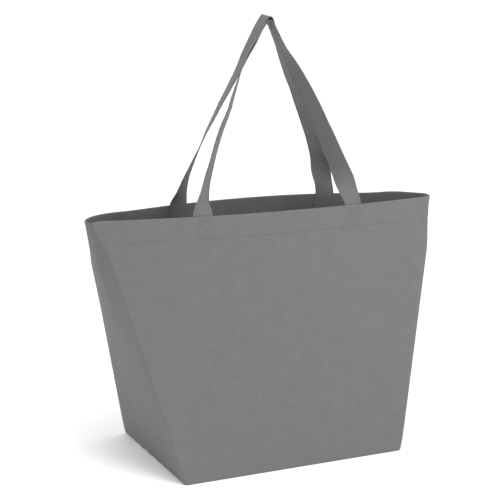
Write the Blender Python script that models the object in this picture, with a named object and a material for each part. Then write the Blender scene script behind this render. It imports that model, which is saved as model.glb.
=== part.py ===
"""Open-top shopper bag sewn from non-woven cloth, with a boxed base and two strap handles.

Metres, +Z up. The origin is the centre of the base, on the surface that the bag stands on.
+X runs along the wide panels, and -Y is the front.
"""

import math

import bmesh
import bpy
from mathutils import Matrix, Vector

# Bag body, measured over the outside of the cloth.
BASE_WIDTH = 0.305
BASE_DEPTH = 0.203
BASE_CORNER_RADIUS = 0.006
CLOTH = 0.0008

# Mouth: each wide side bows outwards, then a short end wraps round to the side seam.
RIM_CREASE_X = 0.231
RIM_END_REACH = 0.0106
RIM_MIDDLE_DEPTH = 0.048
RIM_CREASE_DEPTH = 0.0135
RIM_HEIGHT = 0.3185
RIM_CREASE_DROP = 0.0045
RIM_END_DROP = 0.0035

# Sewing.
HEM_DEPTH = 0.030
HEM_STITCH_INSET = 0.002
SEAM_ALLOWANCE = 0.009
CORNER_SEAM_SHORT = 0.006
CORNER_SEAM_STITCH_SHARE = 0.7
THREAD_RADIUS = 0.0003

# Straps: each leg rises from the mouth, bows outwards and turns about its own length.
STRAP_WIDTH = 0.0254
STRAP_THICKNESS = 0.0012
STRAP_SPACING = 0.210
STRAP_SEWN = 0.032
STRAP_TOP = (-0.004, 0.002)
STRAP_TOP_ABOVE_RIM = 0.2352
STRAP_TOP_ROUNDING = 0.05
STRAP_STACK_GAP = 0.0095
STRAP_ROOT_CLEARANCE = 0.0003
STRAP_STITCH_INSET = 0.003
STRAP_HINGE_OUTSIDE = 0.0081
STRAP_HINGE_ABOVE = 0.0031
BOX_STITCH_SIDE_INSET = 0.0032
BOX_STITCH_LOW_INSET = 0.004
BOX_STITCH_HIGH_INSET = 0.006

# Twist of a strap leg, in degrees of heading, at fractions of its way up. It starts in line with the mouth.
TWIST_FRACTIONS = (0.0, 0.07, 0.2, 0.45, 0.75, 1.0)
SQUARE_ROOT_SHARE = 0.06
STRAPS = {
    "front": {
        "side": -1,
        "stack": 0,
        "left": {"bow": 0.0040, "sway": 0.0050, "drift": 0.0088, "twist": (33, 47, 52, 64, 80)},
        "right": {"bow": 0.0060, "sway": -0.0014, "drift": 0.0045, "twist": (6, 44, 54, 85, 100)},
    },
    "back": {
        "side": 1,
        "stack": 1,
        "left": {"bow": 0.0040, "sway": 0.0048, "drift": 0.0, "twist": (36, 54, 69, 83, 84)},
        "right": {"bow": 0.0105, "sway": -0.0022, "drift": 0.0015, "twist": (2, -16, -6, 38, 96)},
    },
}

GAP = 0.0004
TRIM = 3 * GAP
SHORTEST_MITRE = 0.3
NEAR_ALONG_RIM = 0.001
NEAR_ALONG_STRAP = 0.002
NEAR_SHARE = 0.01
FRONT_STEPS = 14
END_STEPS = 6
WALL_ROWS = 6
HEM_ROWS = 2
STRAP_STEPS = 44

CLOTH_GREY = (0.20, 0.20, 0.20)
THREAD_GREY = (0.24, 0.24, 0.24)


def clear_scene():
    for item in list(bpy.data.objects):
        bpy.data.objects.remove(item, do_unlink=True)


def make_material(name, colour, roughness):
    material = bpy.data.materials.new(name)
    material.use_nodes = True
    shader = material.node_tree.nodes["Principled BSDF"]
    shader.inputs["Base Color"].default_value = (*colour, 1.0)
    shader.inputs["Roughness"].default_value = roughness
    shader.inputs["Metallic"].default_value = 0.0
    return material


def add_object(name, data, kind):
    """Put one sub-part in the scene, with a material of its own."""
    colour, roughness = (THREAD_GREY, 0.6) if kind == "thread" else (CLOTH_GREY, 0.85)
    data.materials.append(make_material(name, colour, roughness))
    item = bpy.data.objects.new(name, data)
    bpy.context.collection.objects.link(item)
    return item


def add_bmesh(name, bm, kind):
    bmesh.ops.recalc_face_normals(bm, faces=bm.faces)
    mesh = bpy.data.meshes.new(name)
    bm.to_mesh(mesh)
    bm.free()
    return add_object(name, mesh, kind)


# The bag's walls.


def front_pair(share):
    """(base point, rim point) at this share of the way from the front's middle to its crease."""
    base = Vector((BASE_WIDTH / 2 * share, -BASE_DEPTH / 2, 0))
    depth = RIM_MIDDLE_DEPTH - (RIM_MIDDLE_DEPTH - RIM_CREASE_DEPTH) * share**2
    rim = Vector((RIM_CREASE_X * share, -depth, RIM_HEIGHT - RIM_CREASE_DROP * share**2))
    return base, rim


def end_pair(share):
    """(base point, rim point) at this share of the way from the crease to the side seam."""
    base = Vector((BASE_WIDTH / 2, -BASE_DEPTH / 2 * (1 - share), 0))
    turn = math.pi / 2 * share
    drop = RIM_CREASE_DROP + (RIM_END_DROP - RIM_CREASE_DROP) * math.sin(turn)
    rim = Vector(
        (
            RIM_CREASE_X + RIM_END_REACH * math.sin(turn),
            -RIM_CREASE_DEPTH * math.cos(turn),
            RIM_HEIGHT - drop,
        )
    )
    return base, rim


def half_path(height):
    """The outside of the front half of the bag, from the left side seam to the right one.

    height is the share of the way from the base to the rim.
    """
    pairs = [front_pair(i / FRONT_STEPS) for i in range(FRONT_STEPS + 1)]
    pairs += [end_pair(i / END_STEPS) for i in range(1, END_STEPS + 1)]
    right = [base.lerp(rim, height) for base, rim in pairs]
    right[-1].y = -GAP / 2
    left = [Vector((-p.x, p.y, p.z)) for p in reversed(right[1:])]
    return left + right


CREASE_LEFT = END_STEPS
CREASE_RIGHT = END_STEPS + 2 * FRONT_STEPS


def inward(points, distance):
    """The path moved inwards, level, with its corners mitred. Its two ends move along X."""
    moved = []
    for i, point in enumerate(points):
        before = (point - points[i - 1]).xy.normalized() if i else Vector((0, -1))
        after = (points[i + 1] - point).xy.normalized() if i < len(points) - 1 else Vector((0, 1))
        normal_before = Vector((-before.y, before.x))
        normal_after = Vector((-after.y, after.x))
        middle = (normal_before + normal_after).normalized()
        step = middle * (distance / max(middle.dot(normal_after), SHORTEST_MITRE))
        if i in (0, len(points) - 1):
            step = Vector((distance if i == 0 else -distance, 0))
        moved.append(point + step.to_3d())
    return moved


def grid_shell(name, outer, inner, side, kind="cloth"):
    """A closed shell between two grids of points. side is 1 to mirror it to the back."""
    rows, columns = len(outer), len(outer[0])
    bm = bmesh.new()
    mirror = Vector((1, -side, 1))
    sheets = [
        [[bm.verts.new(p * mirror) for p in row] for row in grid] for grid in (outer, inner)
    ]
    for sheet in sheets:
        for r in range(rows - 1):
            for c in range(columns - 1):
                bm.faces.new((sheet[r][c], sheet[r][c + 1], sheet[r + 1][c + 1], sheet[r + 1][c]))
    out, back = sheets
    for c in range(columns - 1):
        bm.faces.new((out[0][c], out[0][c + 1], back[0][c + 1], back[0][c]))
        bm.faces.new((out[-1][c], out[-1][c + 1], back[-1][c + 1], back[-1][c]))
    for r in range(rows - 1):
        bm.faces.new((out[r][0], out[r + 1][0], back[r + 1][0], back[r][0]))
        bm.faces.new((out[r][-1], out[r + 1][-1], back[r + 1][-1], back[r][-1]))
    return add_bmesh(name, bm, kind)


def wall_rows(low, high, count, first, last, depth, trim_first=0.0, trim_last=0.0):
    """Rows of points on the wall at this depth inside its outer face, cut back at either end."""
    rows = []
    for i in range(count + 1):
        path = inward(half_path(low + (high - low) * i / count), depth)[first : last + 1]
        path[0] = path[0] + (path[1] - path[0]).normalized() * trim_first
        path[-1] = path[-1] + (path[-2] - path[-1]).normalized() * trim_last
        rows.append(path)
    return rows


def wall(name, side, low, high, count, first, last, depth, **trims):
    outer = wall_rows(low, high, count, first, last, depth, **trims)
    inner = wall_rows(low, high, count, first, last, depth + CLOTH, **trims)
    return grid_shell(name, outer, inner, side)


def height_share(length):
    """The share of the wall's height that this length down its slope is."""
    base, rim = front_pair(0)
    return length / (rim - base).length


WALL_LOW = height_share(CLOTH + GAP)
HEM_LOW = 1 - height_share(HEM_DEPTH)
LAST = 2 * (FRONT_STEPS + END_STEPS)


def build_walls():
    for word, side in (("front", -1), ("back", 1)):
        heights = (side, WALL_LOW, 1, WALL_ROWS)
        wall(f"{word}_panel", *heights, CREASE_LEFT, CREASE_RIGHT, 0)
        wall(f"left_gusset_{word}_half", *heights, 0, CREASE_LEFT, 0, trim_last=TRIM)
        wall(f"right_gusset_{word}_half", *heights, CREASE_RIGHT, LAST, 0, trim_first=TRIM)
        wall(f"{word}_hem", side, HEM_LOW, 1, HEM_ROWS, 0, LAST, CLOTH + GAP)


def build_base():
    bm = bmesh.new()
    size = Matrix.Diagonal((BASE_WIDTH, BASE_DEPTH, CLOTH, 1))
    bmesh.ops.create_cube(bm, size=1, matrix=Matrix.Translation((0, 0, CLOTH / 2)) @ size)
    corners = [e for e in bm.edges if abs(e.verts[0].co.z - e.verts[1].co.z) > CLOTH / 2]
    bmesh.ops.bevel(
        bm,
        geom=corners,
        offset=BASE_CORNER_RADIUS,
        offset_type="OFFSET",
        segments=4,
        profile=0.5,
        affect="EDGES",
    )
    add_bmesh("base_panel", bm, "cloth")


# Seams and threads.


def box_between(name, corners, kind="cloth"):
    """A six-sided solid on eight corners: four round its lower face, then four above them."""
    bm = bmesh.new()
    verts = [bm.verts.new(c) for c in corners]
    for loop in ((0, 1, 2, 3), (4, 5, 6, 7), (0, 1, 5, 4), (1, 2, 6, 5), (2, 3, 7, 6), (3, 0, 4, 7)):
        bm.faces.new([verts[i] for i in loop])
    return add_bmesh(name, bm, kind)


def thread(name, points):
    """One row of stitching, as a plain closed line of thread."""
    curve = bpy.data.curves.new(name, "CURVE")
    curve.dimensions = "3D"
    curve.bevel_depth = THREAD_RADIUS
    curve.bevel_resolution = 1
    curve.use_fill_caps = True
    spline = curve.splines.new("POLY")
    spline.points.add(len(points) - 1)
    for place, point in zip(spline.points, points):
        place.co = (*point, 1)
    return add_object(name, curve, "thread")


def seam_point(side, height, depth, along_y=0.0):
    """A point on the side seam, this far inside the cloth's outer face."""
    base, rim = end_pair(1)
    point = base.lerp(rim, height)
    return Vector((side * (point.x - depth), along_y, point.z))


CORNER_SEAM_TOP = 3 * CLOTH + GAP
SEAM_LOW = height_share(CORNER_SEAM_TOP + TRIM + 2 * THREAD_RADIUS)
SEAM_HIGH = HEM_LOW - height_share(GAP)


def build_seams():
    seat = CLOTH + GAP
    for word, side in (("left", -1), ("right", 1)):
        corners = [
            seam_point(side, height, depth, y)
            for height in (SEAM_LOW, SEAM_HIGH)
            for depth, y in (
                (seat, -CLOTH),
                (seat, CLOTH),
                (seat + SEAM_ALLOWANCE, CLOTH),
                (seat + SEAM_ALLOWANCE, -CLOTH),
            )
        ]
        box_between(f"{word}_side_seam", corners)
        beside = CLOTH + GAP + THREAD_RADIUS
        ends = [seam_point(side, h, seat + SEAM_ALLOWANCE / 2, -beside) for h in (SEAM_LOW, SEAM_HIGH)]
        thread(f"{word}_side_seam_stitching", ends)

        outer = BASE_WIDTH / 2 - CLOTH - 2 * GAP
        reach = BASE_DEPTH / 2 - CORNER_SEAM_SHORT
        floor, top = seat, CORNER_SEAM_TOP
        corners = [
            Vector((side * x, y, z))
            for z in (floor, top)
            for x, y in (
                (outer, -reach),
                (outer, reach),
                (outer - SEAM_ALLOWANCE, reach),
                (outer - SEAM_ALLOWANCE, -reach),
            )
        ]
        box_between(f"{word}_corner_seam", corners)
        lift = top + GAP + THREAD_RADIUS
        x = side * (outer - SEAM_ALLOWANCE * CORNER_SEAM_STITCH_SHARE)
        thread(f"{word}_corner_seam_stitching", [Vector((x, y, lift)) for y in (-reach, reach)])


def build_hem_stitching():
    height = 1 - height_share(HEM_DEPTH - HEM_STITCH_INSET)
    for word, side in (("front", -1), ("back", 1)):
        path = inward(half_path(height), -(2 * GAP + THREAD_RADIUS))
        path[0].y = path[-1].y = -(2 * GAP + THREAD_RADIUS)
        thread(f"{word}_hem_stitching", [p * Vector((1, -side, 1)) for p in path])


# Straps.


def rim_at(x):
    """The rim's outer edge on the front, at this X."""
    return front_pair(x / RIM_CREASE_X)[1]


STRAP_STACK_DEPTH = 2 * (CLOTH + GAP) + STRAP_THICKNESS / 2


def strap_root(side):
    """The middle of a strap where it leaves the mouth, at +X, just over the higher corner of its sewn end.

    side is -1 on the front.
    """
    base, rim = front_pair(STRAP_SPACING / 2 / RIM_CREASE_X)
    corner = STRAP_WIDTH / 2 * (rim - base).normalized().x - GAP
    return Vector((rim.x, side * (-rim.y - STRAP_STACK_DEPTH), rim.z + corner + STRAP_ROOT_CLEARANCE))


def strap_hinge(side):
    """A point on the line that a handle turns about: just outside its roots, and parallel to X."""
    root = strap_root(side)
    return Vector((0, root.y + side * STRAP_HINGE_OUTSIDE, root.z + STRAP_HINGE_ABOVE))


def root_heading(side):
    """How far the mouth's edge is turned from X, in degrees, where a strap leaves it."""
    x = STRAP_SPACING / 2
    run = rim_at(x + NEAR_ALONG_RIM) - rim_at(x - NEAR_ALONG_RIM)
    return side * math.degrees(math.atan2(run.y, run.x))


def smooth_between(xs, ys, x):
    """A smooth curve through the points (xs, ys), read at x."""
    slopes = []
    for i in range(len(xs)):
        a, b = max(i - 1, 0), min(i + 1, len(xs) - 1)
        slopes.append((ys[b] - ys[a]) / (xs[b] - xs[a]))
    i = max(k for k in range(len(xs) - 1) if xs[k] <= x or k == 0)
    h = xs[i + 1] - xs[i]
    t = (x - xs[i]) / h
    return (
        (2 * t**3 - 3 * t**2 + 1) * ys[i]
        + (t**3 - 2 * t**2 + t) * h * slopes[i]
        + (3 * t**2 - 2 * t**3) * ys[i + 1]
        + (t**3 - t**2) * h * slopes[i + 1]
    )


def strap_centre(strap, travel):
    """The strap's middle. travel runs from -1 at its left root, over the top, to 1 at its right root."""
    rounding = STRAP_TOP_ROUNDING
    fall = (math.hypot(travel, rounding) - rounding) / (math.hypot(1, rounding) - rounding)
    rise = 1 - fall
    root = strap_root(strap["side"])
    root.x *= math.copysign(1, travel)
    lower = (1 - strap["stack"]) * (STRAP_STACK_GAP + STRAP_THICKNESS)
    top = Vector((*STRAP_TOP, RIM_HEIGHT + STRAP_TOP_ABOVE_RIM - lower))
    leg = strap["left" if travel < 0 else "right"]
    arch = 4 * rise * (1 - rise)
    out = leg["bow"] * arch + leg["sway"] * 1.5 * arch * (1 - 2 * rise)
    lean = math.atan2(STRAP_SPACING / 2, top.z - root.z)
    return Vector(
        (
            top.x + (root.x - top.x) * abs(travel) + math.copysign(out * math.cos(lean), travel),
            root.y + (top.y - root.y) * rise + leg["drift"] * arch,
            root.z + (top.z - root.z) * rise + out * math.sin(lean),
        )
    ), rise


def strap_frames(strap):
    """(middle, width direction, outer face's direction) at each step along the strap.

    The steps crowd together where the strap bends most, at its top and its roots.
    """
    frames = []
    for i in range(-STRAP_STEPS, STRAP_STEPS + 1):
        even = abs(i) / STRAP_STEPS
        crowded = even**2 * (3 - 2 * even)
        travel = math.copysign((even + crowded) / 2, i)
        middle, rise = strap_centre(strap, travel)
        ahead = strap_centre(strap, min(travel + NEAR_ALONG_STRAP, 1))[0]
        behind = strap_centre(strap, max(travel - NEAR_ALONG_STRAP, -1))[0]
        along = (ahead - behind).normalized()
        leg = strap["left" if travel < 0 else "right"]
        twist = (root_heading(strap["side"]), *leg["twist"])
        heading = smooth_between(TWIST_FRACTIONS, twist, rise)
        if travel >= 0:
            heading = 180 - heading
        level = Vector((math.cos(math.radians(heading)), math.sin(math.radians(heading)), 0))
        square = min(rise / SQUARE_ROOT_SHARE, 1)
        width = (level - along * level.dot(along) * square).normalized()
        frames.append((middle, width, along.cross(width).normalized() * strap["side"]))
    return frames


def build_strap(word, strap):
    """A handle with its two rows of edge stitching, all parented to an empty on its hinge line."""
    frames = strap_frames(strap)
    bm = bmesh.new()
    rings = []
    for middle, width, face in frames:
        w, t = width * STRAP_WIDTH / 2, face * STRAP_THICKNESS / 2
        rings.append([bm.verts.new(middle + v) for v in (w + t, t, t - w, -w - t, -t, w - t)])
    for a, b in zip(rings, rings[1:]):
        for k in range(6):
            bm.faces.new((a[k], a[(k + 1) % 6], b[(k + 1) % 6], b[k]))
    bm.faces.new(rings[0])
    bm.faces.new(rings[-1])
    pieces = [add_bmesh(f"{word}_handle", bm, "cloth")]

    lift = STRAP_THICKNESS / 2 + 2 * GAP + THREAD_RADIUS
    for edge, sign in (("outer", -1), ("inner", 1)):
        across = sign * (STRAP_WIDTH / 2 - STRAP_STITCH_INSET)
        points = [m + w * across + f * lift for m, w, f in frames]
        pieces.append(thread(f"{word}_handle_{edge}_stitching", points))

    hinge = bpy.data.objects.new(f"{word}_handle_hinge", None)
    hinge.location = strap_hinge(strap["side"])
    bpy.context.collection.objects.link(hinge)
    for piece in pieces:
        piece.parent = hinge
        piece.matrix_parent_inverse = Matrix.Translation(-hinge.location)


def sewn_frame(side, hand, depth, down):
    """A frame on the inside of the wall behind a strap: X along the rim, Z up the wall's slope."""
    share = STRAP_SPACING / 2 / RIM_CREASE_X
    base, rim = front_pair(share)
    up = (rim - base).normalized()
    along = (front_pair(share + NEAR_SHARE)[1] - front_pair(share - NEAR_SHARE)[1]).normalized()
    inside = up.cross(along).normalized()
    inside = inside if inside.y > 0 else -inside
    along = inside.cross(up)
    place = Matrix((along, inside, up)).transposed().to_4x4()
    place.translation = rim - up * down + inside * depth
    return Matrix.Diagonal((hand, -side, 1, 1)) @ place


def build_sewn_end(word, hand_word, side, hand):
    """The end of a strap, sewn flat inside the hem, and its boxed cross of stitching."""
    bm = bmesh.new()
    place = sewn_frame(side, hand, STRAP_STACK_DEPTH, STRAP_SEWN / 2)
    size = Matrix.Diagonal((STRAP_WIDTH, STRAP_THICKNESS, STRAP_SEWN - 2 * GAP, 1))
    bmesh.ops.create_cube(bm, size=1, matrix=place @ size)
    add_bmesh(f"{word}_{hand_word}_strap_end", bm, "cloth")

    width = STRAP_WIDTH - 2 * BOX_STITCH_SIDE_INSET
    height = STRAP_SEWN - BOX_STITCH_LOW_INSET - BOX_STITCH_HIGH_INSET
    lift = STRAP_STACK_DEPTH + STRAP_THICKNESS / 2 + GAP + THREAD_RADIUS
    place = sewn_frame(side, hand, lift, BOX_STITCH_HIGH_INSET + height / 2)
    bm = bmesh.new()
    middle = bm.verts.new(place.translation)
    corners = [
        bm.verts.new(place @ Vector((x * width / 2, 0, z * height / 2)))
        for x, z in ((-1, -1), (1, -1), (1, 1), (-1, 1))
    ]
    for a, b in zip(corners, corners[1:] + corners[:1]):
        bm.faces.new((a, b, middle))
    item = add_bmesh(f"{word}_{hand_word}_box_stitching", bm, "thread")
    line = item.modifiers.new("thread", "WIREFRAME")
    line.thickness = 2 * THREAD_RADIUS
    line.use_boundary = True
    line.use_even_offset = True


def main():
    clear_scene()
    build_base()
    build_walls()
    build_seams()
    build_hem_stitching()
    for word, strap in STRAPS.items():
        build_strap(word, strap)
        for hand_word, hand in (("left", -1), ("right", 1)):
            build_sewn_end(word, hand_word, strap["side"], hand)


main()
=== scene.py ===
# A grey non-woven shopper bag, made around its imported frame. Metres, +Z up, and the front is at -Y.
import math

import bpy
import numpy as np
from mathutils import Matrix, Vector


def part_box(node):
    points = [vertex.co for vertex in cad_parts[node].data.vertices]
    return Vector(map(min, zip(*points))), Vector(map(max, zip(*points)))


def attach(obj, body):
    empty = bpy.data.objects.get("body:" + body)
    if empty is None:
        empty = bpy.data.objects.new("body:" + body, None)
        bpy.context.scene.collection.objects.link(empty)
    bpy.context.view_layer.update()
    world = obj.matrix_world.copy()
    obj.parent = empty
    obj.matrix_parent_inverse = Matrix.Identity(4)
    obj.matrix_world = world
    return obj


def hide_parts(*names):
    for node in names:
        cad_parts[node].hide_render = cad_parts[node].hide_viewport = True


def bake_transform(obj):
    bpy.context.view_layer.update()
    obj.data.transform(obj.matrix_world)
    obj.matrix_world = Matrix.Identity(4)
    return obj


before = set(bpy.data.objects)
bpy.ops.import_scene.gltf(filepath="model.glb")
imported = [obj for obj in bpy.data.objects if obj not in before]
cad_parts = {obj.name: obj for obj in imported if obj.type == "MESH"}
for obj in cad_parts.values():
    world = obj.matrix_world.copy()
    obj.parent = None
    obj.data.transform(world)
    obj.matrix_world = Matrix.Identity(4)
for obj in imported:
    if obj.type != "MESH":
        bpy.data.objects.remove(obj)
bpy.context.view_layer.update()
print("frame loaded")


# Small tools, used by every piece.


def linearColour(code):  # "#rrggbb" as a linear colour for a shader
    parts = [int(code[i : i + 2], 16) / 255 for i in (1, 3, 5)]
    return tuple(p / 12.92 if p <= 0.04045 else ((p + 0.055) / 1.055) ** 2.4 for p in parts) + (1.0,)


def addNode(tree, kind, inputs=None, **settings):  # one node, with its settings, values and links
    node = tree.nodes.new(kind)
    for key, value in settings.items():
        setattr(node, key, value)
    for socket, value in (inputs or {}).items():
        if isinstance(value, bpy.types.NodeSocket):
            tree.links.new(value, node.inputs[socket])
        else:
            node.inputs[socket].default_value = value
    return node


def freshObject(name):  # names the object that an operator has just added
    made = bpy.context.object
    made.name = name
    made.data.name = name
    return made


def nothingSelected():
    bpy.ops.object.select_all(action="DESELECT")


def applyModifiers(piece):
    nothingSelected()
    piece.select_set(True)
    bpy.context.view_layer.objects.active = piece
    for modifier in list(piece.modifiers):
        bpy.ops.object.modifier_apply(modifier=modifier.name)


def gridPiece(name, columns, rows, place, cloth):
    # A grid of columns x rows points. Each is moved to place(column, row), and its UVs are
    # cloth(column, row), in metres.
    nothingSelected()
    bpy.ops.mesh.primitive_grid_add(x_subdivisions=columns - 1, y_subdivisions=rows - 1, size=1)
    piece = freshObject(name)
    mesh = piece.data
    flat = np.zeros(len(mesh.vertices) * 3)
    mesh.vertices.foreach_get("co", flat)
    flat = flat.reshape(-1, 3)
    column = np.rint((flat[:, 0] + 0.5) * (columns - 1)).astype(int)
    row = np.rint((flat[:, 1] + 0.5) * (rows - 1)).astype(int)
    mesh.vertices.foreach_set("co", place(column, row).ravel())
    corners = np.zeros(len(mesh.loops), int)
    mesh.loops.foreach_get("vertex_index", corners)
    across, along = cloth(column, row)
    mesh.uv_layers[0].name = "cloth"
    mesh.uv_layers[0].data.foreach_set("uv", np.stack([across[corners], along[corners]], 1).ravel())
    mesh.update()
    return piece


def mergedAndSmooth(piece, angle=50):
    nothingSelected()
    piece.select_set(True)
    bpy.context.view_layer.objects.active = piece
    bpy.ops.object.mode_set(mode="EDIT")
    bpy.ops.mesh.select_all(action="SELECT")
    bpy.ops.mesh.remove_doubles(threshold=1e-5)
    bpy.ops.object.mode_set(mode="OBJECT")
    bpy.ops.object.shade_smooth_by_angle(angle=math.radians(angle))


def smoothStep(low, high, x):  # 0 below low, 1 above high
    t = np.clip((x - low) / (high - low), 0.0, 1.0)
    return t * t * (3 - 2 * t)


def ripple(x, longest, seed):  # an irregular wave from about -1 to 1 along x
    total = 0.0
    for order, (size, length) in enumerate(((0.5, 1.0), (0.32, 0.617), (0.22, 0.383))):
        total = total + size * np.sin(2 * math.pi * x / (longest * length) + seed * (order + 1.3))
    return total


# Camera, light and floor.

camera = {
    "place": (-0.8338, -1.6642, 0.6977),
    "lens": 108,  # mm, on a 36 mm sensor
    "down": 13.287,  # degrees below level
    "turn": 26.016,  # degrees from +Y towards +X
    "roll": 1.006,
}


def makeCamera():
    down, turn, roll = (math.radians(camera[k]) for k in ("down", "turn", "roll"))
    ahead = Vector((math.sin(turn) * math.cos(down), math.cos(turn) * math.cos(down), -math.sin(down)))
    right = Vector((math.cos(turn), -math.sin(turn), 0))
    up = right.cross(ahead)
    rolledRight = right * math.cos(roll) + up * math.sin(roll)
    rolledUp = up * math.cos(roll) - right * math.sin(roll)
    bpy.ops.object.camera_add()
    made = bpy.context.object
    made.data.lens = camera["lens"]
    made.data.sensor_width = 36
    turned = Matrix((rolledRight, rolledUp, -ahead)).transposed().to_4x4()
    made.matrix_world = Matrix.Translation(camera["place"]) @ turned
    bpy.context.scene.camera = made


studio = {
    "roomLight": 1.12,
    "softboxes": (  # place, what it faces, width in metres, watts
        ((0.9, -2.6, 2.0), (0.0, 0.0, 0.2), 1.8, 36.0),
        ((0.3, -1.5, 3.8), (0.0, 0.3, 0.2), 2.5, 46.0),
    ),
}


def makeStudio():
    world = bpy.data.worlds.new("softRoom")
    world.use_nodes = True
    background = world.node_tree.nodes["Background"]
    background.inputs["Color"].default_value = (1, 1, 1, 1)
    background.inputs["Strength"].default_value = studio["roomLight"]
    bpy.context.scene.world = world
    bpy.context.scene.view_settings.view_transform = "Standard"
    for place, target, width, watts in studio["softboxes"]:
        bpy.ops.object.light_add(type="AREA", location=place)
        lamp = bpy.context.object
        lamp.data.shape = "DISK"
        lamp.data.size = width
        lamp.data.energy = watts
        lamp.rotation_euler = (Vector(target) - Vector(place)).to_track_quat("-Z", "Y").to_euler()
    bpy.ops.mesh.primitive_plane_add(size=60)
    floor = freshObject("studioFloor")
    floor.data.materials.append(paintedFloor())


def paintedFloor():  # white emulsion on board: matte, with the faintest roller texture
    made = bpy.data.materials.new("whiteEmulsionBoard")
    made.use_nodes = True
    tree = made.node_tree
    shader = tree.nodes["Principled BSDF"]
    shader.inputs["Base Color"].default_value = linearColour("#f7f7f7")
    shader.inputs["Roughness"].default_value = 0.85
    spots = addNode(tree, "ShaderNodeTexCoord")
    grain = addNode(tree, "ShaderNodeTexNoise", {"Vector": spots.outputs["Object"], "Scale": 160.0})
    bump = addNode(
        tree, "ShaderNodeBump", {"Height": grain.outputs["Fac"], "Strength": 0.03, "Distance": 0.001}
    )
    tree.links.new(bump.outputs["Normal"], shader.inputs["Normal"])
    return made


makeCamera()
makeStudio()
print("camera, light and floor made")


# Materials.

nonWoven = {
    "bondSpacing": 0.0029,  # between embossed points: about 2 mm on the real cloth, drawn coarser to show
    "fibreSize": 0.0007,
    "cloudSize": 0.018,
    "cloth": "#656565",
    "thinCloth": "#5f5f5f",
    "bondPoint": "#505050",
}


def spunbondPolypropylene(name):
    # Polypropylene filaments laid at random and pressed together at embossed points: a dry, matte, felt-like
    # cloth whose points are flatter and a touch shinier, with the faint clouds of an uneven web.
    made = bpy.data.materials.new(name)
    made.use_nodes = True
    tree = made.node_tree
    shader = tree.nodes["Principled BSDF"]
    cloth = addNode(tree, "ShaderNodeUVMap", uv_map="cloth")
    turned = addNode(
        tree, "ShaderNodeMapping", {"Vector": cloth.outputs["UV"], "Rotation": (0, 0, math.radians(45))}
    )
    waveScale = math.pi / 10 / nonWoven["bondSpacing"]  # a band repeats every pi / 10 at scale 1
    rows = addNode(
        tree,
        "ShaderNodeTexWave",
        {"Vector": turned.outputs["Vector"], "Scale": waveScale},
        bands_direction="X",
    )
    ranks = addNode(
        tree,
        "ShaderNodeTexWave",
        {"Vector": turned.outputs["Vector"], "Scale": waveScale},
        bands_direction="Y",
    )
    crossing = addNode(
        tree, "ShaderNodeMath", {0: rows.outputs["Fac"], 1: ranks.outputs["Fac"]}, operation="MULTIPLY"
    )
    point = addNode(
        tree, "ShaderNodeMapRange", {"Value": crossing.outputs[0], "From Min": 0.35, "From Max": 0.75}
    )
    fibres = addNode(
        tree,
        "ShaderNodeTexNoise",
        {
            "Vector": cloth.outputs["UV"],
            "Scale": 1 / nonWoven["fibreSize"],
            "Detail": 4.0,
            "Roughness": 0.65,
            "Distortion": 1.2,
        },
    )
    clouds = addNode(
        tree,
        "ShaderNodeTexNoise",
        {"Vector": cloth.outputs["UV"], "Scale": 1 / nonWoven["cloudSize"], "Detail": 3.0},
    )
    mixed = addNode(
        tree,
        "ShaderNodeMath",
        {0: clouds.outputs["Fac"], 1: fibres.outputs["Fac"]},
        operation="MULTIPLY",
    )
    web = addNode(tree, "ShaderNodeMapRange", {"Value": mixed.outputs[0], "From Min": 0.12, "From Max": 0.42})
    tint = addNode(
        tree,
        "ShaderNodeMix",
        {0: web.outputs[0], 6: linearColour(nonWoven["thinCloth"]), 7: linearColour(nonWoven["cloth"])},
        data_type="RGBA",
    )
    pointShare = addNode(tree, "ShaderNodeMath", {0: point.outputs[0], 1: 0.75}, operation="MULTIPLY")
    colour = addNode(
        tree,
        "ShaderNodeMix",
        {0: pointShare.outputs[0], 6: tint.outputs[2], 7: linearColour(nonWoven["bondPoint"])},
        data_type="RGBA",
    )
    rough = addNode(
        tree, "ShaderNodeMapRange", {"Value": point.outputs[0], "To Min": 0.82, "To Max": 0.62}
    )
    fuzz = addNode(tree, "ShaderNodeMath", {0: fibres.outputs["Fac"], 1: 0.6}, operation="MULTIPLY")
    height = addNode(tree, "ShaderNodeMath", {0: fuzz.outputs[0], 1: point.outputs[0]}, operation="SUBTRACT")
    bump = addNode(
        tree, "ShaderNodeBump", {"Height": height.outputs[0], "Strength": 0.4, "Distance": 0.0003}
    )
    tree.links.new(colour.outputs[2], shader.inputs["Base Color"])
    tree.links.new(rough.outputs[0], shader.inputs["Roughness"])
    tree.links.new(bump.outputs["Normal"], shader.inputs["Normal"])
    shader.inputs["IOR"].default_value = 1.49
    shader.inputs["Specular IOR Level"].default_value = 0.3
    shader.inputs["Sheen Weight"].default_value = 0.08
    shader.inputs["Sheen Roughness"].default_value = 0.6
    return made


def spunPolyesterThread():
    # Three-ply spun polyester sewing thread in the cloth's own grey: soft, with fine twist and fuzz.
    made = bpy.data.materials.new("spunPolyesterThread")
    made.use_nodes = True
    tree = made.node_tree
    shader = tree.nodes["Principled BSDF"]
    spots = addNode(tree, "ShaderNodeTexCoord")
    fuzz = addNode(
        tree, "ShaderNodeTexNoise", {"Vector": spots.outputs["Object"], "Scale": 2600.0, "Detail": 3.0}
    )
    tint = addNode(
        tree,
        "ShaderNodeMix",
        {0: fuzz.outputs["Fac"], 6: linearColour("#545454"), 7: linearColour("#656565")},
        data_type="RGBA",
    )
    bump = addNode(
        tree, "ShaderNodeBump", {"Height": fuzz.outputs["Fac"], "Strength": 0.5, "Distance": 0.0002}
    )
    tree.links.new(tint.outputs[2], shader.inputs["Base Color"])
    tree.links.new(bump.outputs["Normal"], shader.inputs["Normal"])
    shader.inputs["Roughness"].default_value = 0.6
    shader.inputs["Sheen Weight"].default_value = 0.15
    return made


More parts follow.
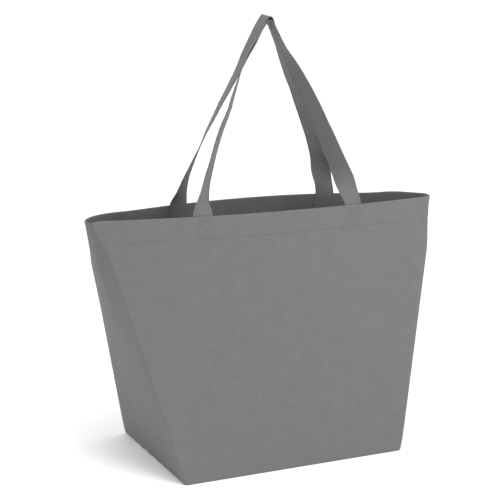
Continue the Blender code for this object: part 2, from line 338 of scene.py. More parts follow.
bagMaterial = spunbondPolypropylene("greySpunbondPolypropylene")
strapMaterial = spunbondPolypropylene("greySpunbondPolypropyleneStrap")
threadMaterial = spunPolyesterThread()


# The bag's shape: one law for its wall, read by every piece sewn to it.

bag = {
    "baseHalfWidth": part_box("base_panel")[1].x,
    "baseHalfDepth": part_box("base_panel")[1].y,
    "rimHeight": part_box("front_panel")[1].z,
    "creaseX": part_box("front_panel")[1].x,
    "seamX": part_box("right_gusset_front_half")[1].x,
    "middleDepth": 0.048,  # from the bag's middle plane to the rim, at the middle of a wide side
    "creaseDepth": 0.0135,  # and at its crease
    "creaseDrop": {"left": 0.0018, "right": 0.0045},  # from the rim's middle down to its crease
    "endDrop": {"left": 0.0050, "right": 0.0042},
    "halfWidthOfCloth": 0.254,  # from the middle of a wide side round to its side seam
    "creaseReach": 0.0022,  # how far the cloth bends on each side of a crease
    "rimCreaseReach": 0.008,
    "baseCornerReach": 0.005,
    "bottomReach": 0.0028,  # how far it bends on each side of the bottom fold
    "rimFrontCloth": 0.2346,  # cloth from the middle of a wide side to its crease, at the rim
    "endRound": 0.12,
    "cornerPull": 0.0012,  # how far the corner seam draws the bottom fold in
    "baseRise": 0.0008,
    "fullness": {  # how far each upright corner stands out beyond its straight line, where it stands out most
        "frontLeft": 0.0004,
        "frontRight": 0.0076,
        "backLeft": 0.0066,
        "backRight": 0.0045,
    },
    "fullnessAt": 0.80,  # share of the height
    "backRimFullness": {"left": 0.0060, "right": 0.0110},
    "thickness": 0.0007,
    "hemDepth": 0.030,
    "hemStitchDrop": 0.028,
    "foldRadius": 0.0011,
    "seamAllowance": 0.009,
}
bag["slope"] = math.hypot(bag["rimHeight"], bag["baseHalfDepth"] - bag["middleDepth"])
bag["stitchClimb"] = bag["slope"] - bag["hemStitchDrop"]


def frontCloth(h):  # cloth from the middle of a wide side to its crease, at this share of the height
    return bag["baseHalfWidth"] + (bag["rimFrontCloth"] - bag["baseHalfWidth"]) * h


def sharpWall(c, h, creaseDrop, endDrop):
    # A point of the front half at +X, c metres past the crease along the cloth, before creases are rounded.
    front = frontCloth(h)
    share = 1 + c / front
    creaseX = bag["baseHalfWidth"] + (bag["creaseX"] - bag["baseHalfWidth"]) * h
    creaseY = -(bag["baseHalfDepth"] + (bag["creaseDepth"] - bag["baseHalfDepth"]) * h)
    rimY = -(bag["middleDepth"] - (bag["middleDepth"] - bag["creaseDepth"]) * share**2)
    wide = (
        creaseX * share,
        -bag["baseHalfDepth"] * (1 - h) + rimY * h,
        h * (bag["rimHeight"] - creaseDrop * share**2),
    )
    e = np.clip(c / (bag["halfWidthOfCloth"] - front), 0, 1)
    seamX = bag["baseHalfWidth"] + (bag["seamX"] - bag["baseHalfWidth"]) * h
    roundShare = bag["endRound"] + (1 - bag["endRound"]) * smoothStep(0.80, 0.97, h)
    turn = math.pi / 2 * e
    end = (
        creaseX + (seamX - creaseX) * (e * (1 - roundShare) + np.sin(turn) * roundShare),
        creaseY * (1 - e * (1 - roundShare) - (1 - np.cos(turn)) * roundShare),
        h * (bag["rimHeight"] - creaseDrop + (creaseDrop - endDrop) * np.sin(turn)),
    )
    return np.stack([np.where(c <= 0, a, b) for a, b in zip(wide, end)], -1)


def roundedWall(c, h, hand="right"):
    drops = (bag["creaseDrop"][hand], bag["endDrop"][hand])
    reach = (
        bag["creaseReach"]
        + (bag["rimCreaseReach"] - bag["creaseReach"]) * smoothStep(0.84, 0.99, h)
        + (bag["baseCornerReach"] - bag["creaseReach"]) * (1 - smoothStep(0.0, 0.05, h))
    )
    k = np.clip((c + reach) / (2 * reach), 0, 1)[..., None]
    before, corner, after = (sharpWall(way * reach, h, *drops) for way in (-1, 0, 1))
    bend = (1 - k) ** 2 * before + 2 * k * (1 - k) * corner + k**2 * after
    return np.where((np.abs(c) < reach)[..., None], bend, sharpWall(c, h, *drops))


def levelNormal(c, h):  # which way is out of the cloth, level
    near = 0.0012
    run = roundedWall(c + near, h) - roundedWall(c - near, h)
    out = np.stack([run[..., 1], -run[..., 0]], -1)
    gap = bag["halfWidthOfCloth"] - frontCloth(h) - c
    atSeam = (1 - smoothStep(0.0, 0.004, gap))[..., None]
    out = out / np.linalg.norm(out, axis=-1, keepdims=True)
    out = out * (1 - atSeam) + np.array([1.0, 0.0]) * atSeam
    return out / np.linalg.norm(out, axis=-1, keepdims=True)


def fullness(w, h, half):
    # The corners stand a little proud of straight lines, and the back of the mouth is rounder than an arc.
    full = bag["fullness"]
    front = np.where(w < 0, full["frontLeft"], full["frontRight"])
    back = np.where(w < 0, full["backLeft"], full["backRight"])
    backShare = smoothStep(-0.018, 0.018, half * (bag["halfWidthOfCloth"] - np.abs(w)))
    most = front + (back - front) * backShare
    c = np.abs(w) - frontCloth(h)
    rise = (np.clip(h, 0, 1) / bag["fullnessAt"]) ** 0.85 * (1 - smoothStep(bag["fullnessAt"] - 0.02, 1.0, h))
    corner = most * rise * np.exp(-((c / 0.045) ** 2))
    rim = np.where(w < 0, bag["backRimFullness"]["left"], bag["backRimFullness"]["right"])
    rim = np.where(half > 0, rim, 0.0) * smoothStep(0.55, 1.0, h)
    return corner + rim * np.exp(-(((c + 0.026) / 0.026) ** 2))


reliefSizes = {  # metres: height or depth, then how far it reaches, then the length of its wave
    "seamGroove": (0.0004, 0.0016),
    "seamPucker": (0.00035, 0.010, 0.023),
    "hemGroove": (0.0005, 0.0014),
    "hemPucker": (0.00018, 0.009, 0.027),
    "hemPuckerAtRight": 0.0006,
    "bandFold": (0.0007, 0.031),
    "edgePucker": (0.0008, 0.011, 0.021),
    "sag": (0.0009, 0.31, 0.27),
    "crumple": (0.00015, 0.043, 0.037),
}


def mound(distance, reach):  # 1 at no distance, falling softly to 0
    return np.exp(-((distance / reach) ** 2))


def relief(w, climb, half):
    # How far the cloth stands out from the plain law: sewn grooves, puckers and the sag of the big faces.
    side = np.where(w < 0, -1.0, 1.0)
    h = climb / bag["slope"]
    fromSeam = bag["halfWidthOfCloth"] - np.abs(w)
    pastCrease = np.abs(w) - frontCloth(h)
    seed = side * 1.3 + half * 2.1
    depth, reach = reliefSizes["seamGroove"]
    seamGroove = -depth * mound(fromSeam, reach)
    height, reach, wave = reliefSizes["seamPucker"]
    seamPucker = height * mound(fromSeam, reach) * ripple(climb + 0.5 * fromSeam, wave, side)
    seamPucker = seamPucker * smoothStep(0, 0.02, climb)
    fromStitch = climb - bag["stitchClimb"]
    depth, reach = reliefSizes["hemGroove"]
    hemGroove = -depth * mound(fromStitch, reach)
    rightEnd = smoothStep(0.15, 0.22, w) * (1 - smoothStep(0.236, 0.25, w))
    height, reach, wave = reliefSizes["hemPucker"]
    height = height + reliefSizes["hemPuckerAtRight"] * rightEnd
    hemPucker = height * mound(fromStitch, reach) * ripple(w, wave, seed)
    inBand = smoothStep(bag["stitchClimb"] - 0.004, bag["stitchClimb"] + 0.006, climb)
    height, wave = reliefSizes["bandFold"]
    bandFold = height * rightEnd * inBand * ripple(w + 0.2 * climb, wave, 4.4)
    onEnd = smoothStep(0.0, 0.008, pastCrease)
    height, reach, wave = reliefSizes["edgePucker"]
    edgePucker = height * onEnd * mound(climb, reach) * ripple(w, wave, seed + 2)
    middle = np.sin(math.pi * np.clip(h, 0, 1)) * (1 - mound(pastCrease, 0.02))
    middle *= smoothStep(0.0, 0.02, fromSeam)
    height, across, along = reliefSizes["sag"]
    sag = height * middle * ripple(w + 0.35 * climb, across, seed + 5)
    sag = sag * ripple(climb - 0.25 * w, along, seed + 8) * 2
    height, across, along = reliefSizes["crumple"]
    crumple = height * middle * ripple(w + 0.5 * climb, across, seed)
    crumple = crumple * ripple(climb - 0.4 * w, along, seed) * 2
    return seamGroove + seamPucker + hemGroove + hemPucker + bandFold + edgePucker + sag + crumple


def wallPoint(w, climb, half, depth=0.0):
    # A point on the cloth: w metres round from the middle of a wide side, climb up its slope, and depth
    # inside its outer face.
    w, climb, half, depth = (np.asarray(a, float) for a in (w, climb, half, depth))
    w, climb, half, depth = np.broadcast_arrays(w, climb, half, depth)
    h = climb / bag["slope"]
    c = np.abs(w) - frontCloth(h)
    left = (w < 0)[..., None]
    point = np.where(left, roundedWall(c, h, "left"), roundedWall(c, h, "right"))
    out = relief(w, climb, half) + fullness(w, h, half) - depth
    point[..., :2] += levelNormal(c, h) * out[..., None]
    point[..., 0] *= np.where(w < 0, -1.0, 1.0)
    point[..., 1] *= -half
    return point


def sewnWallPoint(w, climb, half, depth=0.0):  # the same, with the two halves meeting at the side seams
    ours = wallPoint(w, climb, half, depth)
    theirs = wallPoint(w, climb, -np.asarray(half), depth)
    atSeam = np.abs(w) >= bag["halfWidthOfCloth"] - 1e-9
    return np.where(atSeam[..., None], (ours + theirs) / 2, ours)


# The bag's cloth: base, walls and turned hem in one sheet.


def quarterColumns():
    # Columns from the middle of a wide side to the side seam. Each is (p, q, r), and lies at
    # w = p * front + q * whole + r.
    nearCrease = 0.006
    wideSteps, endSteps = 42, 15
    columns = [(i / wideSteps, 0.0, -nearCrease * i / wideSteps) for i in range(wideSteps + 1)]
    nearer = (0.0042, 0.0028, 0.0018, 0.0009)
    columns += [(1.0, 0.0, c) for c in (*[-n for n in nearer], 0, *reversed(nearer))]
    for i in range(endSteps + 1):
        share = i / endSteps
        columns.append((1 - share, share, nearCrease - 2 * nearCrease * share))
    columns += [(0.0, 1.0, -gap) for gap in (0.0042, 0.0028, 0.0018, 0.001, 0.0004, 0.0)]
    return columns


def roundColumns():  # all round the bag from the left side seam, as (p, q, r, half)
    quarter = quarterColumns()
    left = [(-p, -q, -r) for p, q, r in reversed(quarter[1:])]
    front = [(*column, -1.0) for column in left + quarter]
    back = [(-p, -q, -r, 1.0) for p, q, r, _ in front]
    return np.array(front), np.array(back)


def wallRows():
    # Rows up the wall, round the rim's fold and down the hem, as (climb, depth). The first is where the
    # bottom fold ends.
    fold, inside = bag["foldRadius"], 2 * bag["foldRadius"]
    low = np.linspace(bag["bottomReach"], 0.016, 8)
    body = np.linspace(0.016, bag["stitchClimb"] - 0.006, 78)[1:]
    line = np.linspace(bag["stitchClimb"] - 0.006, bag["stitchClimb"] + 0.006, 12)[1:]
    band = np.linspace(bag["stitchClimb"] + 0.006, bag["slope"] - fold, 10)[1:]
    rows = [(climb, 0.0) for climb in np.concatenate([low, body, line, band])]
    for turn in np.linspace(0, math.pi, 7)[1:]:
        rows.append((bag["slope"] - fold + fold * math.sin(turn), fold - fold * math.cos(turn)))
    for climb in np.linspace(bag["slope"] - fold, bag["slope"] - bag["hemDepth"], 16)[1:]:
        rows.append((climb, inside))
    return np.array(rows)


foldShares = np.linspace(0, 1, 8)[:-1]  # rows through the bottom fold


def bottomFold(w, half, k):
    # k runs from 0, on the base, to 1, on the wall.
    reach = bag["bottomReach"]
    onBase = sewnWallPoint(w, 0 * w, half, reach)
    edge = sewnWallPoint(w, 0 * w, half, 0)
    onWall = sewnWallPoint(w, 0 * w + reach, half, 0)
    k = k[..., None]
    point = (1 - k) ** 2 * onBase + 2 * k * (1 - k) * edge + k**2 * onWall
    onEnd = smoothStep(0.0, 0.01, np.abs(w) - frontCloth(0))  # the corner seam draws the end's edge in
    pull = bag["cornerPull"] * onEnd * np.exp(-(((k[..., 0] - 0.55) / 0.2) ** 2)) * (0.75 + 0.4 * ripple(w, 0.019, 1.0))
    point[..., 2] += pull * 0.6
    point[..., 0] -= np.sign(point[..., 0]) * pull
    return point


def makeBagCloth():
    front, back = roundColumns()
    around = np.concatenate([front, back[1:]])
    climbs = wallRows()
    folds = len(foldShares)

    def clothAt(column, row):
        p, q, r, half = around[column].T
        climb, depth = climbs[np.clip(row - folds, 0, None)].T
        h = np.where(row < folds, 0.0, climb / bag["slope"])
        w = p * frontCloth(h) + q * bag["halfWidthOfCloth"] + r
        return w, np.where(row < folds, 0.0, climb), depth, half

    def place(column, row):
        w, climb, depth, half = clothAt(column, row)
        wall = sewnWallPoint(w, climb, half, depth)
        fold = bottomFold(w, half, foldShares[np.clip(row, 0, folds - 1)])
        return np.where((row < folds)[:, None], fold, wall)

    def cloth(column, row):
        w, climb, depth, half = clothAt(column, row)
        over = np.where(depth > 0, 2 * bag["slope"] - climb, climb)
        return w, np.where(row < folds, (row - folds) * 0.0005, over) * -half

    walls = gridPiece("bagCloth", len(around), folds + len(climbs), place, cloth)

    # The base fills the ring that the bottom fold starts from.
    cornerColumn = 50  # counted from the middle of a wide side, just past the crease
    wide, ends = 2 * cornerColumn, 2 * (len(quarterColumns()) - 1 - cornerColumn)
    ring = place(np.arange(len(around)), np.zeros(len(around), int))
    firstCorner = ends // 2

    def ringAt(steps):
        return ring[(firstCorner + steps) % (len(around) - 1)]

    def basePlace(column, row):
        u, v = column / wide, row / ends
        near, far = ringAt(column), ringAt(2 * wide + ends - column)
        left, right = ringAt(2 * wide + 2 * ends - row), ringAt(wide + row)
        corners = [ringAt(np.array([n]))[0] for n in (0, wide, wide + ends, 2 * wide + ends)]
        u, v = u[:, None], v[:, None]
        flat = (1 - v) * near + v * far + (1 - u) * left + u * right
        nearSide = (1 - u) * (1 - v) * corners[0] + u * (1 - v) * corners[1]
        flat -= nearSide + u * v * corners[2] + (1 - u) * v * corners[3]
        rise = np.sin(math.pi * u[:, 0]) * np.sin(math.pi * v[:, 0])
        flat[:, 2] += bag["baseRise"] * np.sqrt(np.clip(rise, 0, 1))
        return flat

    def baseCloth(column, row):
        flat = basePlace(column, row)
        return flat[:, 0], flat[:, 1]

    base = gridPiece("bagBase", wide + 1, ends + 1, basePlace, baseCloth)
    bpy.ops.object.mode_set(mode="EDIT")
    bpy.ops.mesh.select_all(action="SELECT")
    bpy.ops.mesh.flip_normals()
    bpy.ops.object.mode_set(mode="OBJECT")
    nothingSelected()
    base.select_set(True)
    walls.select_set(True)
    bpy.context.view_layer.objects.active = walls
    bpy.ops.object.join()
    mergedAndSmooth(walls)
    ply = walls.modifiers.new("ply", "SOLIDIFY")
    ply.thickness = bag["thickness"]
    ply.offset = -1
    ply.use_even_offset = True
    applyModifiers(walls)
    walls.data.materials.append(bagMaterial)
    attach(walls, "bag")
    return walls


bagCloth = makeBagCloth()
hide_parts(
    "base_panel",
    "front_panel",
    "back_panel",
    "front_hem",
    "back_hem",
    *[f"{hand}_gusset_{end}_half" for hand in ("left", "right") for end in ("front", "back")],
)
print("bag cloth made,", len(bagCloth.data.polygons), "faces")


# Stitches: one is modelled, and the rows are copies of it.

stitch = {"length": 0.0026, "pitch": 0.0031, "width": 0.00055, "height": 0.0004}


def oneStitch():
    nothingSelected()
    bpy.ops.mesh.primitive_uv_sphere_add(
        segments=6, ring_count=4, radius=0.5, rotation=(0, math.radians(90), 0)
    )
    made = freshObject("oneStitch")
    bpy.ops.object.transform_apply(location=False, rotation=True, scale=True)
    bpy.ops.object.mode_set(mode="EDIT")
    bpy.ops.mesh.select_all(action="SELECT")
    bpy.ops.transform.resize(value=(stitch["length"], stitch["width"], stitch["height"]))
    bpy.ops.object.mode_set(mode="OBJECT")
    return made


stitchModel = oneStitch()
stitchPoints = np.array([v.co for v in stitchModel.data.vertices])
stitchFaces = [list(face.vertices) for face in stitchModel.data.polygons]
bpy.data.objects.remove(stitchModel)


def stitchesAlong(points, normals):
    # Frames of stitches laid end to end along a line of points, as (middle, along, across, up).
    points, normals = np.asarray(points), np.asarray(normals)
    steps = np.linalg.norm(np.diff(points, axis=0), axis=1)
    travelled = np.concatenate([[0], np.cumsum(steps)])
    count = int(travelled[-1] / stitch["pitch"])
    spare = travelled[-1] - count * stitch["pitch"]
    frames = []
    for i in range(count):
        middle = spare / 2 + (i + 0.5) * stitch["pitch"]
        ends = [middle - stitch["length"] / 2, middle, middle + stitch["length"] / 2]
        a, m, b = (np.array([np.interp(s, travelled, points[:, k]) for k in range(3)]) for s in ends)
        up = np.array([np.interp(middle, travelled, normals[:, k]) for k in range(3)])
        along = (b - a) / np.linalg.norm(b - a)
        across = np.cross(up, along)
        across /= np.linalg.norm(across)
        frames.append((m, along, across, np.cross(along, across)))
    return frames


def stitchPiece(name, frames):
    points, faces = [], []
    for n, (middle, along, across, up) in enumerate(frames):
        points.append(middle + stitchPoints @ np.stack([along, across, up]))
        faces += [[v + n * len(stitchPoints) for v in face] for face in stitchFaces]
    mesh = bpy.data.meshes.new(name)
    mesh.from_pydata(np.concatenate(points).tolist(), [], faces)
    mesh.materials.append(threadMaterial)
    made = bpy.data.objects.new(name, mesh)
    bpy.context.scene.collection.objects.link(made)
    nothingSelected()
    made.select_set(True)
    bpy.context.view_layer.objects.active = made
    bpy.ops.object.shade_smooth()
    return made


def wallLine(w, climb, half, depth, outwards):
    # Points and normals for a row of stitches on the wall. outwards is 1 on the outer face and -1 on the
    # inner one.
    points = wallPoint(w, climb, half, depth)
    h = np.broadcast_to(climb, np.shape(w)) / bag["slope"]
    out = levelNormal(np.abs(w) - frontCloth(h), h)
    normals = np.zeros_like(points)
    normals[:, 0] = out[:, 0] * np.where(w < 0, -1, 1)
    normals[:, 1] = -half * out[:, 1]
    return points, normals * outwards


insideHem = 2 * bag["foldRadius"]
lieOn = stitch["height"] * 0.3  # how far a stitch's middle lies off the cloth

for word, half in (("front", -1), ("back", 1)):
    reach = bag["halfWidthOfCloth"] - 0.0015
    w = np.linspace(-reach, reach, 500)
    rows = stitchesAlong(*wallLine(w, bag["stitchClimb"], half, -lieOn, 1))
    rows += stitchesAlong(*wallLine(w, bag["stitchClimb"], half, insideHem + lieOn, -1))
    row = stitchPiece(f"{word}HemStitching", rows)
    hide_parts(f"{word}_hem_stitching")
    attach(row, "bag")
print("hem stitching made")


# Seam allowances inside the bag.

seam = {
    "plyGap": 0.0009,
    "spread": 0.0012,
    "wave": 0.0014,
    "plyThickness": 0.0006,
    "sideStitchShare": 0.35,  # share of the allowance from the seam to its stitching
    "cornerStitchShare": 0.5,
}


def seamPly(name, lower, length, place, plySide):
    columns, rows = 7, 150

    def at(column, row):
        return place(column / (columns - 1), lower + length * row / (rows - 1), plySide)

    def cloth(column, row):
        return 0.3 + column / (columns - 1) * bag["seamAllowance"], length * row / (rows - 1)

    ply = gridPiece(name, columns, rows, at, cloth)
    thick = ply.modifiers.new("ply", "SOLIDIFY")
    thick.thickness = seam["plyThickness"]
    thick.offset = 0
    applyModifiers(ply)
    return ply


def joined(name, pieces):
    nothingSelected()
    for piece in pieces:
        piece.select_set(True)
    bpy.context.view_layer.objects.active = pieces[0]
    bpy.ops.object.join()
    made = freshObject(name)
    mergedAndSmooth(made)
    return made


def sideSeamPlace(side):
    def place(share, climb, plySide):
        inwards = bag["thickness"] + 0.0002 + share * bag["seamAllowance"]
        w = np.full_like(climb, side * bag["halfWidthOfCloth"])
        point = (wallPoint(w, climb, -1, inwards) + wallPoint(w, climb, 1, inwards)) / 2
        wave = seam["wave"] * share**1.5 * ripple(climb, 0.045, side * 2.0)
        point[:, 1] += wave + plySide * (seam["plyGap"] / 2 + seam["spread"] / 2 * share**2)
        return point

    return place


def cornerSeamPlace(side):
    def place(share, along, plySide):
        x = side * (bag["baseHalfWidth"] - bag["thickness"] - 0.0012 - share * bag["seamAllowance"])
        level = 0.0026 + plySide * seam["plyGap"] / 2 + 0.0008 * share * (1 + ripple(along, 0.04, side + 3.0))
        return np.stack([x + 0 * along, along, level], -1)

    return place


for hand, side in (("left", -1), ("right", 1)):
    low, high = 0.006, bag["slope"] - bag["hemDepth"] - 0.0006
    place = sideSeamPlace(side)
    plies = [seamPly(f"{hand}SidePly{n}", low, high - low, place, n) for n in (-1, 1)]
    allowance = joined(f"{hand}SideSeam", plies)
    allowance.data.materials.append(bagMaterial)
    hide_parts(f"{hand}_side_seam")
    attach(allowance, "bag")
    climb = np.linspace(low, high, 300)
    rows = []
    for plySide in (-1, 1):
        line = place(np.full(300, seam["sideStitchShare"]), climb, plySide)
        line[:, 1] += plySide * (seam["plyThickness"] / 2 + lieOn)
        rows += stitchesAlong(line, np.tile([0.0, plySide, 0.0], (300, 1)))
    row = stitchPiece(f"{hand}SideSeamStitching", rows)
    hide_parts(f"{hand}_side_seam_stitching")
    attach(row, "bag")

    reach = bag["baseHalfDepth"] - 0.006
    place = cornerSeamPlace(side)
    plies = [seamPly(f"{hand}CornerPly{n}", -reach, 2 * reach, place, n) for n in (-1, 1)]
    allowance = joined(f"{hand}CornerSeam", plies)
    allowance.data.materials.append(bagMaterial)
    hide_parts(f"{hand}_corner_seam")
    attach(allowance, "bag")
    along = np.linspace(-reach, reach, 200)
    line = place(np.full(200, seam["cornerStitchShare"]), along, 1)
    line[:, 2] += seam["plyThickness"] / 2 + lieOn
    rows = stitchesAlong(line, np.tile([0.0, 0.0, 1.0], (200, 1)))
    row = stitchPiece(f"{hand}CornerSeamStitching", rows)
    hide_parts(f"{hand}_corner_seam_stitching")
    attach(row, "bag")
print("seam allowances made")


# Straps.

strap = {
    "width": 0.0254,
    "thickness": 0.0012,
    "spacing": 0.210,
    "sewn": 0.032,
    "rounding": 0.05,
    "depth": 0.0030,  # inside the rim's outer face
    "rootClearance": 0.0013,
    "stitchInset": 0.003,
    "squareShare": 0.06,
    "sewnRows": 14,
    "wander": 0.0005,
    "pucker": 0.00016,
    "grooveDepth": 0.00020,
    "crown": 0.00012,
    "boxWidth": 0.019,
    "boxHeight": 0.022,
    "boxInset": 0.004,
}
# Twist of a strap leg, in degrees of heading, at fractions of its way up. It starts in line with the mouth.
twistFractions = (0.0, 0.07, 0.2, 0.45, 0.7, 0.87, 1.0)
straps = {
    "front": {
        "side": -1,
        "top": (-0.0042, 0.0021, 0.5496),
        "left": {"bow": 0.0007, "sway": 0.0053, "drift": 0.0150, "twist": (35, 49, 52, 60, 73, 89)},
        "right": {"bow": -0.0008, "sway": -0.0010, "drift": -0.0096, "twist": (-3, 43, 58, 71, 102, 91)},
    },
    "back": {
        "side": 1,
        "top": (-0.0037, 0.0026, 0.5544),
        "left": {"bow": 0.0063, "sway": 0.0046, "drift": -0.0055, "twist": (37, 54, 70, 79, 90, 87)},
        "right": {"bow": 0.0077, "sway": 0.0055, "drift": 0.0087, "twist": (3, 64, 78, 93, 99, 93)},
    },
}


def rimAt(x):
    share = x / bag["creaseX"]
    depth = bag["middleDepth"] - (bag["middleDepth"] - bag["creaseDepth"]) * share**2
    return Vector((x, -depth, bag["rimHeight"] - bag["creaseDrop"]["right"] * share**2))


def smoothBetween(xs, ys, x):
    slopes = []
    for i in range(len(xs)):
        a, b = max(i - 1, 0), min(i + 1, len(xs) - 1)
        slopes.append((ys[b] - ys[a]) / (xs[b] - xs[a]))
    i = max(k for k in range(len(xs) - 1) if xs[k] <= x or k == 0)
    h = xs[i + 1] - xs[i]
    t = (x - xs[i]) / h
    return (
        (2 * t**3 - 3 * t**2 + 1) * ys[i]
        + (t**3 - 2 * t**2 + t) * h * slopes[i]
        + (3 * t**2 - 2 * t**3) * ys[i + 1]
        + (t**3 - t**2) * h * slopes[i + 1]
    )


def strapCentre(word, travel):
    # The strap's middle. travel runs from -1 at its left root, over the top, to 1 at its right root.
    facts = straps[word]
    rounding = strap["rounding"]
    fall = (math.hypot(travel, rounding) - rounding) / (math.hypot(1, rounding) - rounding)
    rise = 1 - fall
    rim = rimAt(strap["spacing"] / 2)
    root = Vector((rim.x, facts["side"] * (-rim.y - strap["depth"]), rim.z + strap["rootClearance"]))
    root.x *= math.copysign(1, travel)
    top = Vector(facts["top"])
    leg = facts["left" if travel < 0 else "right"]
    arch = 4 * rise * (1 - rise)
    out = leg["bow"] * arch + leg["sway"] * 1.5 * arch * (1 - 2 * rise)
    lean = math.atan2(strap["spacing"] / 2, top.z - root.z)
    return (
        Vector(
            (
                top.x + (root.x - top.x) * abs(travel) + math.copysign(out * math.cos(lean), travel),
                root.y + (top.y - root.y) * rise + leg["drift"] * arch,
                root.z + (top.z - root.z) * rise + out * math.sin(lean),
            )
        ),
        rise,
    )


def freeFrames(word):
    # (middle, width direction, outer face's direction) along the free length, closest together at the top
    # and the roots.
    side = straps[word]["side"]
    near = rimAt(strap["spacing"] / 2 + 0.001) - rimAt(strap["spacing"] / 2 - 0.001)
    rootHeading = side * math.degrees(math.atan2(near.y, near.x))
    steps = 110
    frames = []
    for i in range(-steps, steps + 1):
        even = abs(i) / steps
        travel = math.copysign((even + even**2 * (3 - 2 * even)) / 2, i)
        middle, rise = strapCentre(word, travel)
        ahead = strapCentre(word, min(travel + 0.002, 1))[0]
        behind = strapCentre(word, max(travel - 0.002, -1))[0]
        along = (ahead - behind).normalized()
        leg = straps[word]["left" if travel < 0 else "right"]
        heading = smoothBetween(twistFractions, (rootHeading, *leg["twist"]), rise)
        if travel >= 0:
            heading = 180 - heading
        level = Vector((math.cos(math.radians(heading)), math.sin(math.radians(heading)), 0))
        square = min(rise / strap["squareShare"], 1)
        width = (level - along * level.dot(along) * square).normalized()
        frames.append((middle, width, along.cross(width).normalized() * side))
    return frames


def sewnFrames(word, hand):
    # The sewn end, from its cut edge up to the rim, on the inside of the hem.
    half = straps[word]["side"]
    share = strap["spacing"] / 2 / bag["creaseX"]
    frames = []
    for down in np.linspace(strap["sewn"] - 0.0004, 0.0012, strap["sewnRows"]):
        climb = bag["slope"] - down
        w = hand * share * frontCloth(climb / bag["slope"])
        middle = Vector(wallPoint(w, climb, half, strap["depth"]))
        beside = Vector(wallPoint(w + 0.004, climb, half, strap["depth"]))
        above = Vector(wallPoint(w, climb + 0.002, half, strap["depth"]))
        width = (beside - middle).normalized() * -hand
        along = (above - middle).normalized() * -hand
        frames.append((middle, width, along.cross(width).normalized() * half))
    return frames


def strapFrames(word):
    frames = sewnFrames(word, -1) + freeFrames(word) + sewnFrames(word, 1)[::-1]
    middles, widths, faces = (np.array([list(f[k]) for f in frames]) for k in range(3))
    sewnCount = strap["sewnRows"]
    for _ in range(6):  # ease the turn where the strap leaves the mouth
        for root in (sewnCount, len(frames) - 1 - sewnCount):
            span = slice(root - 5, root + 6)
            for values in (middles, widths, faces):
                before, after = values[root - 6 : root + 5], values[root - 4 : root + 7]
                values[span] = (before + 2 * values[span] + after) / 4
    travelled = np.concatenate([[0], np.cumsum(np.linalg.norm(np.diff(middles, axis=0), axis=1))])
    widths /= np.linalg.norm(widths, axis=1, keepdims=True)
    faces /= np.linalg.norm(faces, axis=1, keepdims=True)
    return middles, widths, faces, travelled


def strapProfile():
    # The strap's section: flat, its edges folded round, and drawn in along its two rows of stitching.
    line = 1 - strap["stitchInset"] * 2 / strap["width"]
    half = [-1, -0.99, -0.965, -0.93, -0.86, -line - 0.03, -line, -line + 0.03, -0.62, -0.35]
    shares = np.array(half + [0] + [-s for s in reversed(half)])
    edge = np.sqrt(np.clip(1 - (np.clip(np.abs(shares) - 0.95, 0, 1) / 0.05) ** 2, 0, 1))
    groove = strap["grooveDepth"] * np.exp(-(((np.abs(shares) - line) / 0.03) ** 2))
    crown = strap["crown"] * (1 - shares**2)
    lift = (strap["thickness"] / 2 - groove + crown) * edge
    across = shares * strap["width"] / 2
    top = list(zip(across, lift))
    bottom = [(a, -b) for a, b in reversed(top[1:-1])]
    grooved = strap["thickness"] / 2 - strap["grooveDepth"] + strap["crown"] * (1 - line**2)
    return np.array(top + bottom), grooved


strapSection, grooveLift = strapProfile()


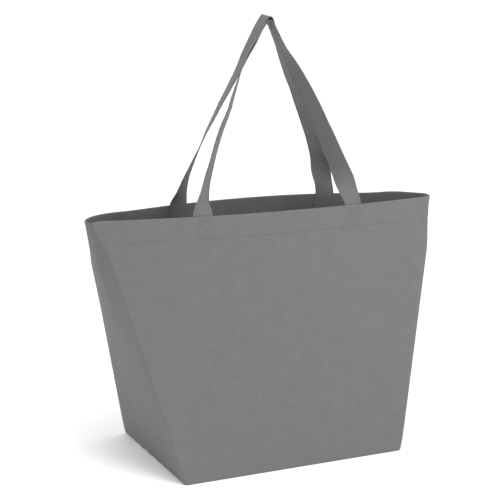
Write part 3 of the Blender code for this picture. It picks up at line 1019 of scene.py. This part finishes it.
def makeStrap(word):
    body = f"{word}_handle"
    middles, widths, faces, travelled = strapFrames(word)
    section = strapSection
    seed = 1.0 if word == "front" else 2.6
    free = np.clip((middles[:, 2] - bag["rimHeight"]) / 0.02, 0, 1)
    wander = strap["wander"] * free * ripple(travelled, 0.09, seed)

    def place(column, row):
        across, lift = section[column % len(section)].T
        pucker = strap["pucker"] * ripple(travelled[row], 0.011, seed + np.sign(across))
        pucker = pucker * smoothStep(0.5, 1, np.abs(across) / (strap["width"] / 2))
        offset = lift + (wander[row] + pucker) * free[row]
        return middles[row] + widths[row] * across[:, None] + faces[row] * offset[:, None]

    def cloth(column, row):
        steps = np.linalg.norm(np.diff(np.vstack([section, section[:1]]), axis=0), axis=1)
        run = np.concatenate([[0], np.cumsum(steps)])
        return 0.6 + run[column], travelled[row]

    piece = gridPiece(f"{word}Strap", len(section) + 1, len(middles), place, cloth)
    mergedAndSmooth(piece)
    bpy.ops.object.mode_set(mode="EDIT")
    bpy.ops.mesh.select_all(action="SELECT")
    bpy.ops.mesh.fill_holes(sides=0)
    bpy.ops.mesh.normals_make_consistent(inside=False)
    bpy.ops.object.mode_set(mode="OBJECT")
    piece.data.materials.append(strapMaterial)
    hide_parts(body, *[f"{word}_{hand}_strap_end" for hand in ("left", "right")])

    rows = []
    for edge in (-1, 1):
        across = edge * (strap["width"] / 2 - strap["stitchInset"])
        for faceSide in (-1, 1):
            offset = faceSide * (grooveLift + lieOn) + wander * free
            line = middles + widths * across + faces * offset[:, None]
            rows += stitchesAlong(line[2:-2], faces[2:-2] * faceSide)
    row = stitchPiece(f"{word}StrapStitching", rows)
    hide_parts(f"{word}_handle_inner_stitching", f"{word}_handle_outer_stitching")

    for made in (piece, row):
        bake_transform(made)
    return piece, row, travelled[-1]


def makeBoxStitch(word, hand):
    # A box with a cross through it, sewn through the strap end, the hem and the wall, so that it shows on
    # both faces.
    half = straps[word]["side"]
    side = -1 if hand == "left" else 1
    share = strap["spacing"] / 2 / bag["creaseX"]
    low = bag["slope"] - strap["sewn"] + strap["boxInset"]
    corners = [(-1, 0), (1, 0), (1, 1), (-1, 1)]
    lines = [(corners[i], corners[(i + 1) % 4]) for i in range(4)]
    lines += [(corners[0], corners[2]), (corners[1], corners[3])]
    inner = strap["depth"] + strap["thickness"] / 2 + 0.0001
    rows = []
    for start, end in lines:
        k = np.linspace(0.04, 0.96, 24)
        x = (start[0] + (end[0] - start[0]) * k) * strap["boxWidth"] / 2
        climb = low + (start[1] + (end[1] - start[1]) * k) * strap["boxHeight"]
        w = side * share * frontCloth(climb / bag["slope"]) + x
        rows += stitchesAlong(*wallLine(w, climb, half, -lieOn, 1))
        rows += stitchesAlong(*wallLine(w, climb, half, inner + lieOn, -1))
    row = stitchPiece(f"{word}{hand.capitalize()}BoxStitching", rows)
    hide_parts(f"{word}_{hand}_box_stitching")
    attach(row, "bag")
    return row


for word in straps:
    piece, edgeRow, length = makeStrap(word)
    boxes = [makeBoxStitch(word, hand) for hand in ("left", "right")]
    print(f"{word} strap made, {length:.3f} m long")

sewnOn = [f"{word}HemStitching" for word in ("front", "back")]
for hand in ("left", "right"):
    for kind in ("SideSeam", "CornerSeam"):
        sewnOn += [f"{hand}{kind}", f"{hand}{kind}Stitching"]

print("all pieces made")
